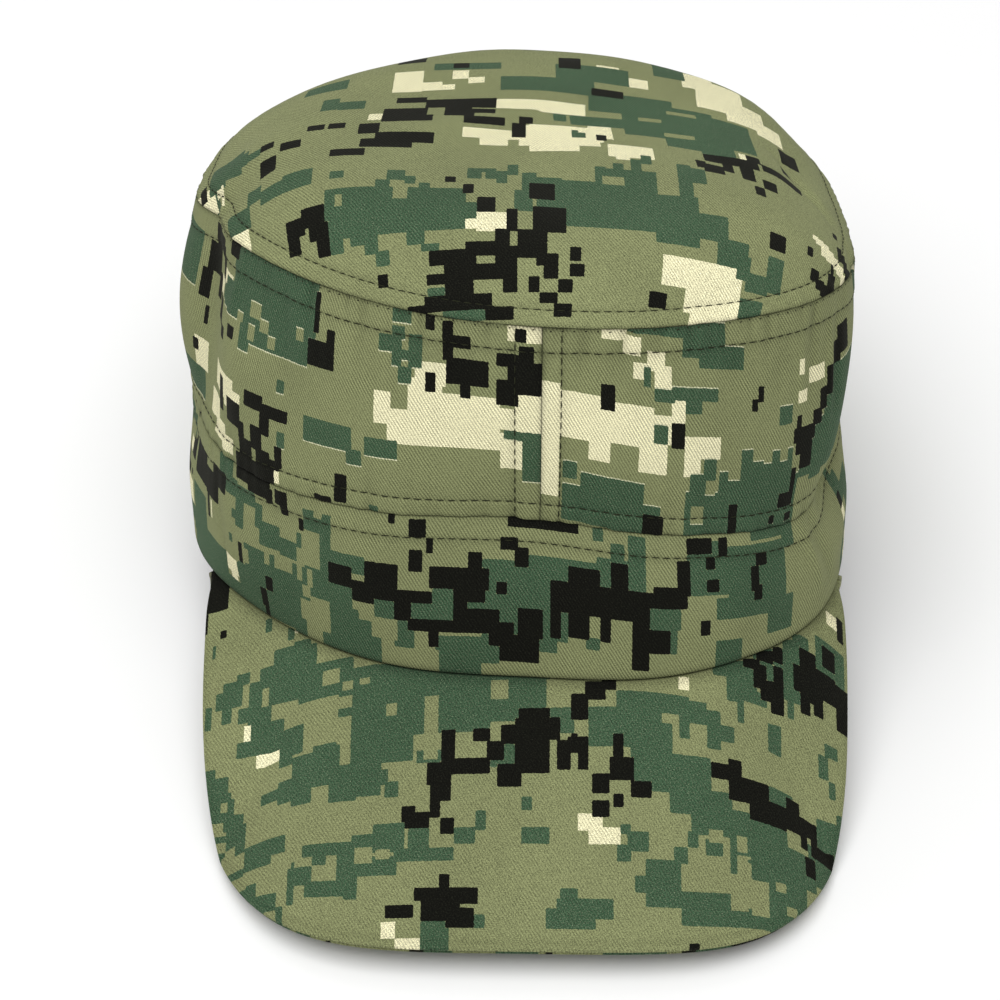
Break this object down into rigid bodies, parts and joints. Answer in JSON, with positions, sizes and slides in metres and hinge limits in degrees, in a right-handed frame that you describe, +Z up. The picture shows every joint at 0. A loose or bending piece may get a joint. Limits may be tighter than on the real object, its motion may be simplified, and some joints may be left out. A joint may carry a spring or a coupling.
{
  "type": "flat-topped cloth cap with a peak",
  "caption": "Soft flat-topped cap of printed cotton twill with a domed top, two side panels, a sewn band round the head opening and a stiff sloping peak.",
  "frame": {"origin": "on the table, under the middle of the cap's box", "axes": "+Z up from the table, the peak points along -Y, +X to the viewer's right when the peak faces the viewer"},
  "size_m": [0.1808, 0.2772, 0.1472],
  "materials": {
    "printed_twill": "matt cotton twill with a blocky print in olive, green, black and cream",
    "peak_lining_twill": "matt cotton twill with the same print"
  },
  "bodies": {
    "root": {"crown_top": "printed_twill", "side_panel_left": "printed_twill", "side_panel_right": "printed_twill", "band": "printed_twill", "peak_upper": "printed_twill", "peak_under": "peak_lining_twill"}
  },
  "joints": []
}
